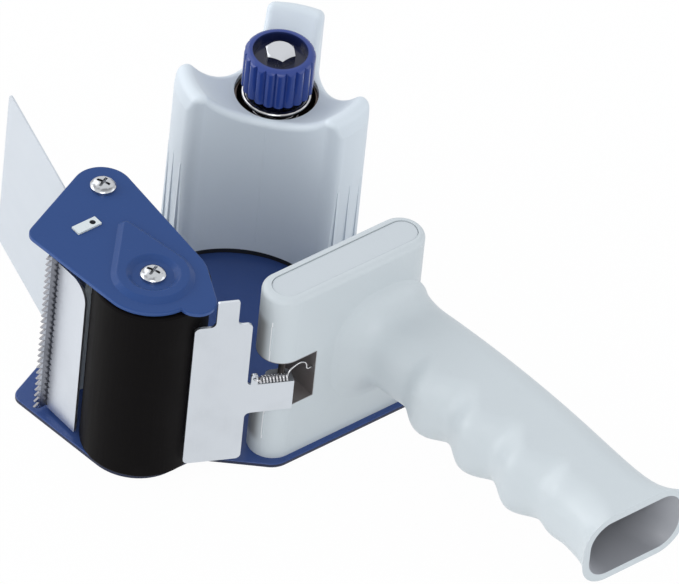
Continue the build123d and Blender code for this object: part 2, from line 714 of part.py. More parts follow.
def grip_section(y, wall, ridges):
    """One rounded section of the grip, or of its hollow, at one height."""
    drop = BLOCK_FACE - y
    turn_in = max(0.0, ROOT_R - max(drop, ROOT_R * ROOT_SHARES[0]))
    root = ROOT_R - math.sqrt(ROOT_R ** 2 - turn_in ** 2)
    flare = math.exp(-max(0.0, GRIP_L - drop) / END_FLARE_REACH)
    bow = max(0.0, 1 - drop / GRIP_BOW_REACH)
    ridge = finger_ridge(y) if ridges else 0.0
    front = smooth_front(y) - ridge - root - END_FLARE_FRONT * flare + wall
    rear = GRIP_REAR - GRIP_REAR_BOW * bow ** 2 + END_FLARE_REAR * flare - wall
    height = GRIP_T + 2 * root - 2 * wall
    corner = GRIP_CORNER_R + ROOT_SOFT * root - wall
    soft = corner + finger_dip(y) if ridges else corner
    section = Rectangle(rear - front, height)
    section = fillet(section.vertices().group_by(Axis.X)[0], soft)
    section = fillet(section.vertices().group_by(Axis.X)[-1], corner)
    place = Plane(((front + rear) / 2, y, GRIP_Z), x_dir=(1, 0, 0), z_dir=(0, -1, 0))
    return place * section


def grip_heights():
    end = BLOCK_FACE - GRIP_L
    root = [BLOCK_FACE + GRIP_BITE] + [BLOCK_FACE - ROOT_R * share for share in ROOT_SHARES]
    flare = [end + END_FLARE_REACH * share for share in FLARE_SHARES]
    count = int((root[-1] - flare[0]) / GRIP_STEP)
    step = (root[-1] - flare[0]) / count
    return root + [root[-1] - step * k for k in range(1, count)] + flare


def grip():
    outside = loft([grip_section(y, 0, True) for y in grip_heights()])
    top = BLOCK_FACE - GRIP_FLOOR
    flare = grip_heights()[-len(FLARE_SHARES):]
    inside_heights = [top, (top + flare[0]) / 2] + flare
    hollow = loft([grip_section(y, GRIP_WALL, False) for y in inside_heights])
    return outside, hollow


def handle():
    footprint = Pos(BLOCK_X, BLOCK_Y) * stadium(BLOCK_L, BLOCK_W)
    block = prism(footprint, SIDE_T, BLOCK_TOP)
    block = fillet(block.faces().sort_by(Axis.Z)[-1].edges(), BLOCK_TOP_R)
    seam = Rot(0, 0, PARTING_BEARING) * Pos(BLOCK_END_R, 0) * Rectangle(2 * PARTING_H, PARTING_W)
    for low, high in PARTING_SPANS:
        block += prism(Pos(BLOCK_FRONT + BLOCK_END_R, BLOCK_Y) * seam, low, high)
    outside, hollow = grip()
    body = block + outside - hollow
    cap_room = CAP_INSET - LOOSE_FIT
    recess = Pos(BLOCK_X + CAP_SHIFT, BLOCK_Y) * stadium(BLOCK_L - 2 * cap_room, BLOCK_W - 2 * cap_room)
    body -= prism(recess, BLOCK_TOP - CAP_SINK - CAP_T, BLOCK_TOP)
    slot_end = BLOCK_FRONT + SLOT_L
    cavity_l = BLOCK_X + BLOCK_L / 2 - CAVITY_WALL - slot_end - CAVITY_WALL
    cavity_x = slot_end + CAVITY_WALL + cavity_l / 2
    cavity = Pos(cavity_x, BLOCK_Y) * stadium(cavity_l, BLOCK_W - 2 * CAVITY_WALL)
    body -= prism(cavity, SIDE_T + CAVITY_FLOOR, BLOCK_TOP)
    over = PARTING_H + CUT_OVER
    slot = flat_rect(BLOCK_FRONT - over, BLOCK_FACE - over, SLOT_L + over, BLOCK_W + 2 * over)
    body -= prism(slot, SLOT_Z, SLOT_Z + SLOT_H)
    body -= rod(HINGE_X, HINGE_Y, PIN_R + RUN_FIT, SLOT_Z - PIN_EMBED, SLOT_Z + SLOT_H + PIN_EMBED)
    anchor = pull_tail() + Vector(PULL_BEND, 0, -PULL_BEND)
    bore = Plane((slot_end, anchor.Y, anchor.Z), x_dir=(0, 1, 0), z_dir=(1, 0, 0))
    body -= extrude(bore * Circle(PULL_WIRE_R + LOOSE_FIT), PULL_TAIL + END_PLAY)
    for x, y in flush_places()[2:]:
        body -= rod(x, y, SCREW_HOLE_R, SIDE_T, SIDE_T + SCREW_L + 2 * END_PLAY)
    return body


def handle_cap():
    place = Pos(BLOCK_X + CAP_SHIFT, BLOCK_Y)
    outline = place * stadium(BLOCK_L - 2 * CAP_INSET, BLOCK_W - 2 * CAP_INSET)
    top = BLOCK_TOP - CAP_SINK
    cap = prism(outline, top - CAP_T, top)
    return fillet(cap.faces().sort_by(Axis.Z)[-1].edges(), CAP_SINK)


# Hub

def lobe_outline(shrink):
    """The three-lobed section, drawn in by a wall."""
    outline = Circle(HUB_R - shrink)
    reach = LOBE_WAIST_R + LOBE_HOLLOW_R
    for k in range(LOBES):
        angle = math.radians(LOBE_ANGLE + (k + 0.5) * 360 / LOBES)
        outline -= Pos(reach * math.cos(angle), reach * math.sin(angle)) * Circle(LOBE_HOLLOW_R + shrink)
    return outline


def hub_envelope():
    """Barrel-sided, dish-topped body that the lobes are cut from."""
    with BuildSketch(Plane.XZ) as half:
        with BuildLine():
            Line((0, HUB_Z), (HUB_R - HUB_FOOT_TAPER, HUB_Z))
            Line((HUB_R - HUB_FOOT_TAPER, HUB_Z), (HUB_R, HUB_BELLY_Z))
            RadiusArc((HUB_R, HUB_BELLY_Z), (HUB_TIP_R, HUB_TIP_Z), -HUB_CROWN_R)
            middle = ((WELL_R + HUB_TIP_R) / 2, HUB_DISH_Z)
            ThreePointArc((HUB_TIP_R, HUB_TIP_Z), middle, (WELL_R, HUB_RIM_Z))
            Polyline((WELL_R, HUB_RIM_Z), (0, HUB_RIM_Z), (0, HUB_Z))
        make_face()
        fillet(half.vertices().sort_by(Axis.Y)[-1], HUB_TOP_R)
    return revolve(half.sketch, Axis.Z)


def tape_hub():
    outline = lobe_outline(0)
    outline = fillet(outline.vertices(), LOBE_EDGE_R)
    hub = prism(outline, HUB_Z, HUB_TIP_Z) & hub_envelope()
    high = hub.edges().filter_by(GeomType.BSPLINE).filter_by(lambda e: e.center().Z > POCKET_Z)
    hub = fillet(high.filter_by(lambda e: e.length > HUB_RIM_LEAST_L), HUB_RIM_R)
    pockets = lobe_outline(HUB_WALL) - Circle(WELL_R + HUB_WALL)
    hub -= prism(pockets, HUB_Z, POCKET_Z)
    hub -= rod(0, 0, WELL_R, WELL_Z, HUB_TIP_Z)
    hub -= rod(0, 0, HUB_BORE_R, HUB_Z, WELL_Z)
    for k in range(LOBES):
        for row in range(RIB_COUNT):
            offset = (row - (RIB_COUNT - 1) / 2) * RIB_PITCH
            face_x = math.sqrt(HUB_R ** 2 - offset ** 2)
            rib = Pos(face_x, offset, 0) * Rectangle(2 * RIB_PROUD, RIB_W)
            rib = loft([Pos(0, 0, HUB_Z) * rib, Pos(-RIB_PROUD, 0, RIB_Z) * rib])
            hub += Rot(0, 0, LOBE_ANGLE + k * 360 / LOBES) * rib
    return hub


def hub_bush():
    return tube(0, 0, HUB_BORE_R, SPINDLE_R + RUN_FIT, HUB_Z, WELL_Z)


def hub_spindle():
    top = WELL_Z - SEAT_GAP
    post = rod(0, 0, SPINDLE_FLANGE_R, SIDE_T, SIDE_T + SPINDLE_FLANGE_T)
    post += rod(0, 0, SPINDLE_R, SIDE_T, top)
    return post - rod(0, 0, BOLT_R + RUN_FIT, SPINDLE_BORE_Z, top)


def brake_washer():
    return tube(0, 0, BRAKE_R, SPINDLE_FLANGE_R + LOOSE_FIT, SIDE_T, HUB_Z - LOOSE_FIT)


# Tension stack

def spring_cup():
    cup = rod(0, 0, CUP_R, WELL_Z, WELL_Z + CUP_H)
    cup -= rod(0, 0, CUP_R - CUP_WALL, WELL_Z + CUP_WALL, WELL_Z + CUP_H)
    return cup - rod(0, 0, SPINDLE_R + SEAT_GAP, WELL_Z, WELL_Z + CUP_WALL)


def tension_spring():
    coil = helix_edges(Vector(0, 0, COIL_Z), COIL_R, 0, 360 * COIL_TURNS, COIL_TURNS * COIL_PITCH)
    return wire_body(coil, COIL_WIRE_R, "tension_spring")


def thrust_washer():
    washer = tube(0, 0, WASHER_R, BOLT_R + LOOSE_FIT, WASHER_Z, WASHER_Z + WASHER_T)
    return fillet(widest_rims(washer), WASHER_EDGE_R)


def hexagon(flats):
    return RegularPolygon(flats / 2, 6, major_radius=False)


def tension_knob():
    pitch_r = KNOB_R - RIDGE_R
    outline = Circle(pitch_r)
    for k in range(KNOB_RIDGES):
        outline += Rot(0, 0, k * 360 / KNOB_RIDGES) * Pos(pitch_r, 0) * Circle(RIDGE_R)
    floor = KNOB_TOP - KNOB_DISH_H
    shoulder = KNOB_R - KNOB_EDGE_R
    slack = KNOB_EDGE_R * math.sqrt(0.5)
    with BuildSketch(Plane.XZ) as half:
        with BuildLine():
            Polyline((0, floor), (0, KNOB_Z), (KNOB_R, KNOB_Z), (KNOB_R, KNOB_TOP - KNOB_EDGE_R))
            ThreePointArc(
                (KNOB_R, KNOB_TOP - KNOB_EDGE_R),
                (shoulder + slack, KNOB_TOP - KNOB_EDGE_R + slack),
                (shoulder, KNOB_TOP),
            )
            Polyline((shoulder, KNOB_TOP), (KNOB_DISH_R, KNOB_TOP), (KNOB_FLOOR_R, floor), (0, floor))
        make_face()
    knob = prism(outline, KNOB_Z, KNOB_TOP) & revolve(half.sketch, Axis.Z)
    knob += rod(0, 0, KNOB_NECK_R, WASHER_Z + WASHER_T, KNOB_Z)
    knob -= rod(0, 0, BOLT_R + RUN_FIT, WASHER_Z + WASHER_T, KNOB_TOP)
    return knob - prism(hexagon(BOLT_HEAD_AF + 2 * RUN_FIT), BOLT_TOP - BOLT_HEAD_H, KNOB_TOP)


def tension_bolt():
    low = BOLT_TOP - BOLT_HEAD_H
    head = prism(hexagon(BOLT_HEAD_AF), low, BOLT_TOP)
    crown = Pos(0, 0, BOLT_TOP) * Cone(BOLT_HEAD_AF * 1.5, BOLT_HEAD_AF * 0.48, 2 * BOLT_HEAD_AF * 0.3)
    head &= Pos(0, 0, -BOLT_HEAD_AF * 0.3) * crown
    return head + rod(0, 0, BOLT_R, low - BOLT_L, low)


def all_parts():
    return {
        "side_plate": side_plate(),
        "head_plate": head_plate(),
        "countersunk_screws": Compound([flush_screw(x, y) for x, y in flush_places()]),
        "pan_screws": Compound([pan_screw(TIE_X, TIE_Y), pan_screw(ROLLER_X, ROLLER_Y)]),
        "tie_post": tapped_bar(TIE_X, TIE_Y, TIE_R),
        "roller_shaft": tapped_bar(ROLLER_X, ROLLER_Y, SHAFT_R),
        "roller_sleeve": roller_sleeve(),
        "roller_core": roller_core(),
        "roller_bushings": Compound(roller_bushings()),
        "blade_holder": blade_holder(),
        "cutter_blade": cutter_blade(),
        "tape_rest": tape_rest(),
        "blade_rivets": Compound([blade_rivet(z) for z in rivet_heights()]),
        "wiper_flap": wiper_flap(),
        "retainer_plate": retainer_plate(),
        "retainer_pin": retainer_pin(),
        "retainer_spring": retainer_spring(),
        "handle": handle(),
        "handle_cap": handle_cap(),
        "tape_hub": tape_hub(),
        "hub_bush": hub_bush(),
        "hub_spindle": hub_spindle(),
        "brake_washer": brake_washer(),
        "spring_cup": spring_cup(),
        "tension_spring": tension_spring(),
        "thrust_washer": thrust_washer(),
        "tension_knob": tension_knob(),
        "tension_bolt": tension_bolt(),
    }


os.makedirs("parts", exist_ok=True)
for name, solid in all_parts().items():
    export_step(solid, f"parts/{name}.step")
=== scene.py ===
"""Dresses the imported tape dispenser: finishes, small fitted pieces, studio and camera.

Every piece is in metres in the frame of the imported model: the origin is on the hub axis at the
underside of the side plate, +Z runs along the hub spindle and the cutting head lies towards -X.
"""

from __future__ import annotations

import logging
import math
from dataclasses import dataclass
from enum import Enum
from typing import Any, Mapping, Sequence, Union

import bpy
from mathutils import Matrix, Vector

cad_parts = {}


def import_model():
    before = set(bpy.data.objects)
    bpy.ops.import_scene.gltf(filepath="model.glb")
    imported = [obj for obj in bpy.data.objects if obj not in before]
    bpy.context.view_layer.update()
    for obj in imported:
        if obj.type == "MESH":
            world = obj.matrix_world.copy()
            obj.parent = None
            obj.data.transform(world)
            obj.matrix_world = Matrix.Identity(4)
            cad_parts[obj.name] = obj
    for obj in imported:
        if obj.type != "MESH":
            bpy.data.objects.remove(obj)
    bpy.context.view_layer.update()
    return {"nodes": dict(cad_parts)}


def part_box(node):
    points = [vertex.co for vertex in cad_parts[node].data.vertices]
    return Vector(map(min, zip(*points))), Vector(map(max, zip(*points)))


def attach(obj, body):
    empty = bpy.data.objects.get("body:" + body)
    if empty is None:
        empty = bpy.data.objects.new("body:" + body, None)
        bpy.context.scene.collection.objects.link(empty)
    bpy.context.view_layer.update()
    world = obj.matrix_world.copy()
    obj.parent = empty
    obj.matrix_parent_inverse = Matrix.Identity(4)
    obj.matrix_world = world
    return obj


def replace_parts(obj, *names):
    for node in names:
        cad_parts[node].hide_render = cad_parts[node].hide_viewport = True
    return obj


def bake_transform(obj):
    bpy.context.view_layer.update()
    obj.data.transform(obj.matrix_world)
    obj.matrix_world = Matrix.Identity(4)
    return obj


LOG = logging.getLogger("tape_dispenser")
MM = 0.001
UNSTRETCHED = (1.0, 1.0, 1.0)
OPAQUE = 1.0
NOISE_MIDDLE = 0.5

# The Mix node's sockets for colours, which share their names with its other sockets.
MIX_SHARE, MIX_FIRST, MIX_SECOND, MIX_RESULT = 0, 6, 7, 2

Pair = tuple[float, float]
Triple = tuple[float, float, float]
Colour = Triple
Key = Union[str, int]
Value = Union["Sock", float]
Feed = Union["Sock", float, Sequence[float]]


class Grain(Enum):
    """The way that the fine marks of a metal run, as factors along the three axes."""

    ALONG_X = (6.0, 260.0, 260.0)
    ALONG_Y = (260.0, 6.0, 260.0)
    ALONG_Z = (260.0, 260.0, 6.0)
    EVEN = (220.0, 220.0, 220.0)


@dataclass(frozen=True)
class Marks:
    """Soft marks: how many in a metre, layers of finer ones, and factors along the three axes."""

    scale: float
    detail: float
    stretch: Triple = UNSTRETCHED


class Sock:
    """One output of a shader node, used in plain Python arithmetic on values."""

    def __init__(self, shade: Shade, socket: bpy.types.NodeSocket | None) -> None:
        """Keeps the tree that the output belongs to and the output itself."""
        self.shade = shade
        self.socket = socket

    def _math(self, operation: str, first: Value, second: Value) -> Sock:
        """Adds one Math node.

        Args:
            operation: The node's operation, such as ADD.
            first: The upper value.
            second: The lower value.

        Returns:
            The node's result.
        """
        return self.shade.node("ShaderNodeMath", {"operation": operation}, {0: first, 1: second})

    def __add__(self, other: Value) -> Sock:
        """Sum."""
        return self._math("ADD", self, other)

    __radd__ = __add__

    def __sub__(self, other: Value) -> Sock:
        """Difference."""
        return self._math("SUBTRACT", self, other)

    def __rsub__(self, other: Value) -> Sock:
        """Difference with the output as the second term."""
        return self._math("SUBTRACT", other, self)

    def __mul__(self, other: Value) -> Sock:
        """Product."""
        return self._math("MULTIPLY", self, other)

    __rmul__ = __mul__

    def __pow__(self, other: Value) -> Sock:
        """Power."""
        return self._math("POWER", self, other)

    def __abs__(self) -> Sock:
        """Size without its sign."""
        return self._math("ABSOLUTE", self, 0.0)

    def beside(self, output: Key) -> Sock:
        """Another output of the same node, by name or number."""
        return Sock(self.shade, self.socket.node.outputs[output])

    def swing(self, amount: float) -> Sock:
        """A noise's swing about its middle, times an amount."""
        return (self - NOISE_MIDDLE) * amount

    def ease(self, low: float, high: float) -> Sock:
        """A smooth step.

        Args:
            low: The value that gives 0.
            high: The value that gives 1.

        Returns:
            A value from 0 to 1.
        """
        return self.shade.node(
            "ShaderNodeMapRange",
            {"interpolation_type": "SMOOTHSTEP"},
            {"Value": self, "From Min": low, "From Max": high},
        )


class Shade:
    """The node tree of one material or of the world."""

    def __init__(self, owner: Union[bpy.types.Material, bpy.types.World]) -> None:
        """Empties the owner's node tree and keeps both.

        Args:
            owner: The material or the world.
        """
        owner.use_nodes = True
        self.owner = owner
        self.tree = owner.node_tree
        self.tree.nodes.clear()
        self.place = self.node("ShaderNodeTexCoord", out="Object")

    @classmethod
    def material(cls, name: str) -> Shade:
        """Starts a new material of that name."""
        return cls(bpy.data.materials.new(name))

    def node(
        self,
        kind: str,
        settings: Mapping[str, Any] | None = None,
        feeds: Mapping[Key, Feed] | None = None,
        out: Key = 0,
    ) -> Sock:
        """Adds any node.

        Args:
            kind: The node's type name.
            settings: Its properties, set first.
            feeds: Links or values of its inputs, by name or number.
            out: The output to hand back, by name or number.

        Returns:
            The chosen output.
        """
        node = self.tree.nodes.new(kind)
        for key, value in (settings or {}).items():
            setattr(node, key, value)
        for key, value in (feeds or {}).items():
            target = node.inputs[key]
            if isinstance(value, Sock):
                self.tree.links.new(value.socket, target)
            else:
                target.default_value = value
        return Sock(self, node.outputs[out] if node.outputs else None)

    def mix(self, share: Value, first: Feed, second: Feed) -> Sock:
        """Blends two colours.

        Args:
            share: How much of the second colour shows.
            first: A colour or a link.
            second: A colour or a link.

        Returns:
            The blended colour.
        """
        ends = [end if isinstance(end, Sock) else (*end, OPAQUE) for end in (first, second)]
        feeds = {MIX_SHARE: share, MIX_FIRST: ends[0], MIX_SECOND: ends[1]}
        return self.node("ShaderNodeMix", {"data_type": "RGBA"}, feeds, out=MIX_RESULT)

    def noise(self, marks: Marks) -> Sock:
        """Soft noise in the object's own space.

        Args:
            marks: The size and the stretch of its marks.

        Returns:
            A value about 0.5.
        """
        place = self.place
        if marks.stretch != UNSTRETCHED:
            place = self.node("ShaderNodeMapping", None, {"Vector": place, "Scale": marks.stretch})
        feeds = {"Vector": place, "Scale": marks.scale, "Detail": marks.detail}
        return self.node("ShaderNodeTexNoise", None, feeds)

    def split(self, vector: Sock) -> tuple[Sock, Sock, Sock]:
        """The three parts of a vector."""
        first = self.node("ShaderNodeSeparateXYZ", None, {"Vector": vector})
        return first, first.beside(1), first.beside(2)

    def facing(self) -> tuple[Sock, Sock, Sock]:
        """The three parts of the surface's own direction."""
        return self.split(self.place.beside("Normal"))

    def spot(self) -> tuple[Sock, Sock, Sock]:
        """The three parts of the surface's own place, in metres."""
        return self.split(self.place)

    def seen(self) -> Sock:
        """1 for the camera and for what mirrors or clear pieces show, and 0 for plain light.

        Returns:
            The mask.
        """
        camera = self.node("ShaderNodeLightPath", out="Is Camera Ray")
        mirrored = camera.beside("Is Glossy Ray")
        clear = camera.beside("Is Transmission Ray")
        return (camera + mirrored + clear).ease(0.0, 1.0)

    def bump(self, height: Sock, depth: float, under: Sock | None = None) -> Sock:
        """Relief.

        Args:
            height: A value from 0 to 1.
            depth: The relief in metres.
            under: A coarser relief that this one lies on.

        Returns:
            A normal.
        """
        feeds: dict[Key, Feed] = {"Height": height, "Distance": depth}
        if under is not None:
            feeds["Normal"] = under
        return self.node("ShaderNodeBump", None, feeds)

    def surface(self, feeds: Mapping[Key, Feed]) -> bpy.types.Material:
        """Closes the tree with one Principled surface.

        Args:
            feeds: Links and constants of its sockets.

        Returns:
            The finished material.
        """
        shader = self.node("ShaderNodeBsdfPrincipled", None, feeds)
        self.node("ShaderNodeOutputMaterial", None, {"Surface": shader})
        return self.owner

    def glow(self, kind: str, colour: Colour, level: float) -> Sock:
        """An even light of one colour and strength, from a shader of that kind."""
        return self.node(kind, None, {"Color": (*colour, OPAQUE), "Strength": level})

    def both(self, share: Sock, first: Sock, second: Sock) -> Sock:
        """Blends two shaders by the share of the second."""
        return self.node("ShaderNodeMixShader", None, {0: share, 1: first, 2: second})


@dataclass(frozen=True)
class Zone:
    """A box in metres, for a tone that only the surfaces inside it have."""

    low: Triple
    high: Triple
    soft: float = 0.0003

    def mask(self, shade: Shade) -> Sock:
        """1 inside the box and 0 outside.

        Args:
            shade: The tree that needs it.

        Returns:
            The mask.
        """
        soft = self.soft
        x, y, z = (
            part.ease(low - soft, low + soft) * part.ease(high + soft, high - soft)
            for part, low, high in zip(shade.spot(), self.low, self.high)
        )
        return x * y * z


@dataclass(frozen=True)
class Finish:
    """A finish with one main colour."""

    name: str
    colour: Colour

    def feeds(self, shade: Shade) -> dict[Key, Feed]:
        """What feeds the sockets of the surface."""
        raise NotImplementedError

    def tone(self, shade: Shade, coloured: Sock) -> Sock:
        """The colour as it is, for a finish that is alike all over."""
        return coloured

    def shifted(self, factor: float, lift: float = 0.0) -> Colour:
        """The main colour times a factor, plus a lift."""
        return tuple(min(1.0, part * factor + lift) for part in self.colour)

    def build(self) -> bpy.types.Material:
        """Makes the material."""
        shade = Shade.material(self.name)
        return shade.surface(self.feeds(shade))


@dataclass(frozen=True)
class PaintFinish(Finish):
    """Stove enamel on pressed steel, with a little orange peel and painted light on its rolled
    edges: a pale edge tone is a painted highlight, a dark one painted shade.
    """

    edge_shading: Colour
    edge_step: Pair = (0.60, 0.25)
    edge_shading_share: float = 0.22
    roughness: float = 0.32
    specular: float = 0.22
    coat: float = 0.12
    coat_roughness: float = 0.10
    cloud_marks: Marks = Marks(28.0, 4.0)
    cloud_lift: float = 1.12
    cloud_swing: float = 0.12
    dust: Colour = (0.45, 0.50, 0.60)
    dust_marks: Marks = Marks(1400.0, 2.0)
    dust_step: Pair = (0.62, 0.80)
    dust_share: float = 0.03
    dust_dulls: float = 0.06
    peel: float = 0.00002
    peel_marks: Marks = Marks(650.0, 2.0)

    def feeds(self, shade: Shade) -> dict[Key, Feed]:
        """Clouds the paint, paints light and shade onto its edges by their slope and lays a little
        dust on it.

        Args:
            shade: The tree.

        Returns:
            What feeds the sockets of the surface.
        """
        _, _, up = shade.facing()
        cloud = shade.noise(self.cloud_marks)
        # Painted light: faces that lean away from flat take the edge tone, a painted highlight when
        # it is pale and painted shade when it is dark.
        rim = abs(up).ease(*self.edge_step)
        dust = shade.noise(self.dust_marks).ease(*self.dust_step)
        toned = shade.mix(cloud, self.colour, self.shifted(self.cloud_lift))
        edge_shaded = shade.mix(rim * self.edge_shading_share, toned, self.edge_shading)
        rough = self.roughness + cloud.swing(self.cloud_swing) + dust * self.dust_dulls
        return {
            "Base Color": shade.mix(dust * self.dust_share, edge_shaded, self.dust),
            "Roughness": rough,
            "Normal": shade.bump(shade.noise(self.peel_marks), self.peel),
            "Specular IOR Level": self.specular,
            "Coat Weight": self.coat,
            "Coat Roughness": self.coat_roughness,
        }


@dataclass(frozen=True)
class MouldedFinish(Finish):
    """Satin moulded plastic with a fine spark-eroded grain and faint flow marks."""

    roughness: float = 0.42
    specular: float = 0.45
    coat: float = 0.0
    coat_roughness: float = 0.08
    mottle: float = 0.05
    grain: float = 0.00002
    grain_marks: Marks = Marks(1500.0, 2.0)
    grain_swing: float = 0.14
    flow_marks: Marks = Marks(14.0, 3.0, (1.0, 1.0, 0.35))
    flow_swing: float = 0.10
    flow_over_grain: float = 4.0
    speck_marks: Marks = Marks(420.0, 2.0)
    speck_step: Pair = (0.62, 0.75)
    speck_share: float = 0.25

    def feeds(self, shade: Shade) -> dict[Key, Feed]:
        """Mottles the plastic and gives it its grain.

        Args:
            shade: The tree.

        Returns:
            What feeds the sockets of the surface.
        """
        flow = shade.noise(self.flow_marks)
        specks = shade.noise(self.speck_marks).ease(*self.speck_step)
        grain = shade.noise(self.grain_marks)
        deep = self.shifted(1.0 - self.mottle)
        toned = shade.mix(flow, deep, self.shifted(1.0 + self.mottle))
        coarse = shade.bump(flow, self.grain * self.flow_over_grain)
        rough = self.roughness + grain.swing(self.grain_swing) + flow.swing(self.flow_swing)
        return {
            "Base Color": self.tone(shade, shade.mix(specks * self.speck_share, toned, deep)),
            "Roughness": rough,
            "Normal": shade.bump(grain, self.grain, coarse),
            "Specular IOR Level": self.specular,
            "Coat Weight": self.coat,
            "Coat Roughness": self.coat_roughness,
        }


@dataclass(frozen=True)
class HandleFinish(MouldedFinish):
    """The handle's moulding, with painted shade in the hinge slot and inside the grip, a painted
    shadow at the nose and a painted highlight on the mould seam.
    """

    # Painted shade: the hinge slot's walls take a dark brown tone in soft patches.
    slot: Zone = Zone((-0.0780, -0.1025, 0.0262), (-0.0583, -0.0830, 0.0475))
    slot_shade: Colour = (0.052, 0.024, 0.016)
    slot_shade_marks: Marks = Marks(90.0, 4.0)
    slot_shade_least: float = 0.78
    slot_shade_more: float = 0.22
    # Painted shade: the inside of the grip's hollow takes a darker tone.
    hollow_x: float = -0.0190
    hollow_z: float = 0.0385
    hollow_top: float = -0.1230
    hollow_soft: float = 0.004
    hollow_shade_share: float = 0.85
    darker_tone: Colour = (0.30, 0.30, 0.325)
    # Painted highlight: the mould seam on the block's nose takes a pale tone.
    seam: Zone = Zone((-0.0764, -0.0961, 0.0100), (-0.0756, -0.0957, 0.0660), 0.0001)
    seam_highlight: Colour = (0.86, 0.87, 0.88)
    # Painted shadow: the block's nose behind the seam takes a dark brown tone.
    nose: Zone = Zone((-0.0880, -0.0938, 0.0085), (-0.0695, -0.0760, 0.0650), 0.0022)
    nose_shadow_share: float = 0.6
    nose_shadow: Colour = (0.13, 0.112, 0.102)

    def tone(self, shade: Shade, coloured: Sock) -> Sock:
        """Paints shade into the slot and the hollow, a shadow onto the block's nose and a highlight
        onto the block's mould seam.

        Args:
            shade: The tree.
            coloured: The moulding's own colour.

        Returns:
            The toned colour.
        """
        x, y, z = shade.spot()
        across, _, up = shade.facing()
        # Painted shade in the slot and the hollow, a painted shadow on the nose and a painted
        # highlight on the seam.
        outward = (x - self.hollow_x) * across + (z - self.hollow_z) * up
        below = y.ease(self.hollow_top, self.hollow_top - self.hollow_soft)
        hollow = outward.ease(0.0, -self.hollow_soft) * below
        painted_dark = self.slot_shade_least + shade.noise(self.slot_shade_marks) * self.slot_shade_more
        nose_shadowed = shade.mix(self.nose.mask(shade) * self.nose_shadow_share, coloured, self.nose_shadow)
        seam_highlighted = shade.mix(self.seam.mask(shade), nose_shadowed, self.seam_highlight)
        hollow_shaded = shade.mix(hollow * self.hollow_shade_share, seam_highlighted, self.darker_tone)
        return shade.mix(self.slot.mask(shade) * painted_dark, hollow_shaded, self.slot_shade)


@dataclass(frozen=True)
class PittedFinish(MouldedFinish):
    """A moulding with painted shade in one round recess."""

    pit_x: float = 0.0
    pit_y: float = 0.0
    pit_r: float = 0.0100
    pit_rim: Pair = (1.04, 0.97)
    pit_top: float = 0.0866
    pit_soft: float = 0.0006
    pit_shade_share: float = 0.9
    # Painted shade: the colour that the recess takes.
    deep: Colour = (0.004, 0.005, 0.020)

    def tone(self, shade: Shade, coloured: Sock) -> Sock:
        """Paints shade into the recess.

        Args:
            shade: The tree.
            coloured: The moulding's own colour.

        Returns:
            The toned colour.
        """
        x, y, z = shade.spot()
        off = (x - self.pit_x) ** 2.0 + (y - self.pit_y) ** 2.0
        near = off.ease(*((rim * self.pit_r) ** 2 for rim in self.pit_rim))
        low = z.ease(self.pit_top, self.pit_top - self.pit_soft)
        return shade.mix(near * low * self.pit_shade_share, coloured, self.deep)


@dataclass(frozen=True)
class MetalFinish(Finish):
    """Plated, ground or drawn metal with fine marks that run one way."""

    roughness: float = 0.25
    grain: Grain = Grain.EVEN
    grain_depth: float = 0.00001
    streak_scale: float = 9.0
    streak_detail: float = 5.0
    streak_swing: float = 0.16
    cloud_marks: Marks = Marks(60.0, 4.0)
    cloud_step: Pair = (0.45, 0.75)
    cloud_swing: float = 0.10
    stain: float = 0.08
    stain_depth: float = 2.0

    def feeds(self, shade: Shade) -> dict[Key, Feed]:
        """Streaks and stains the metal.

        Args:
            shade: The tree.

        Returns:
            What feeds the sockets of the surface.
        """
        streak = shade.noise(Marks(self.streak_scale, self.streak_detail, self.grain.value))
        cloud = shade.noise(self.cloud_marks)
        darker_tone = self.shifted(1.0 - self.stain_depth * self.stain)
        toned = shade.mix(cloud.ease(*self.cloud_step), self.colour, darker_tone)
        streaked = shade.mix(streak.swing(self.stain) + self.stain, toned, darker_tone)
        rough = self.roughness + streak.swing(self.streak_swing) + cloud.swing(self.cloud_swing)
        return {
            "Base Color": self.tone(shade, streaked),
            "Metallic": 1.0,
            "Roughness": rough,
            "Normal": shade.bump(streak, self.grain_depth),
        }


@dataclass(frozen=True)
class ScrewFinish(MetalFinish):
    """Plated screws with painted shade in their cross recesses and a painted dark reflection, as a
    broken ring, round them.
    """

    axes: tuple[Pair, ...] = ()
    recess_r: float = 0.0028
    recess_rim: float = 1.05
    wall_step: Pair = (0.7, 0.4)
    wall_shade_share: float = 0.85
    # Painted reflection: a broken dark ring round each recess.
    reflection_ring_r: float = 0.0036
    reflection_ring_out: float = 0.0046
    reflection_ring_share: float = 0.75
    patch_marks: Marks = Marks(300.0, 2.0)
    patch_step: Pair = (0.42, 0.58)
    # The dark colour of the painted shade and the painted reflection.
    painted_dark: Colour = (0.10, 0.10, 0.11)

    def tone(self, shade: Shade, coloured: Sock) -> Sock:
        """Paints shade on the walls of the recesses and a dark reflection as a broken ring round
        them.

        Args:
            shade: The tree.
            coloured: The plating's own colour.

        Returns:
            The toned colour.
        """
        x, y, _ = shade.spot()
        _, _, up = shade.facing()
        walls = abs(up).ease(*self.wall_step) * self.wall_shade_share
        patches = shade.noise(self.patch_marks).ease(*self.patch_step) * self.reflection_ring_share
        recess, crest, out = self.recess_r**2, self.reflection_ring_r**2, self.reflection_ring_out**2
        for centre_x, centre_y in self.axes:
            off = (x - centre_x) ** 2.0 + (y - centre_y) ** 2.0
            near = off.ease((self.recess_rim * self.recess_r) ** 2, recess)
            ring = off.ease(recess, crest) * off.ease(out, crest)
            coloured = shade.mix(near * walls + ring * patches, coloured, self.painted_dark)
        return coloured


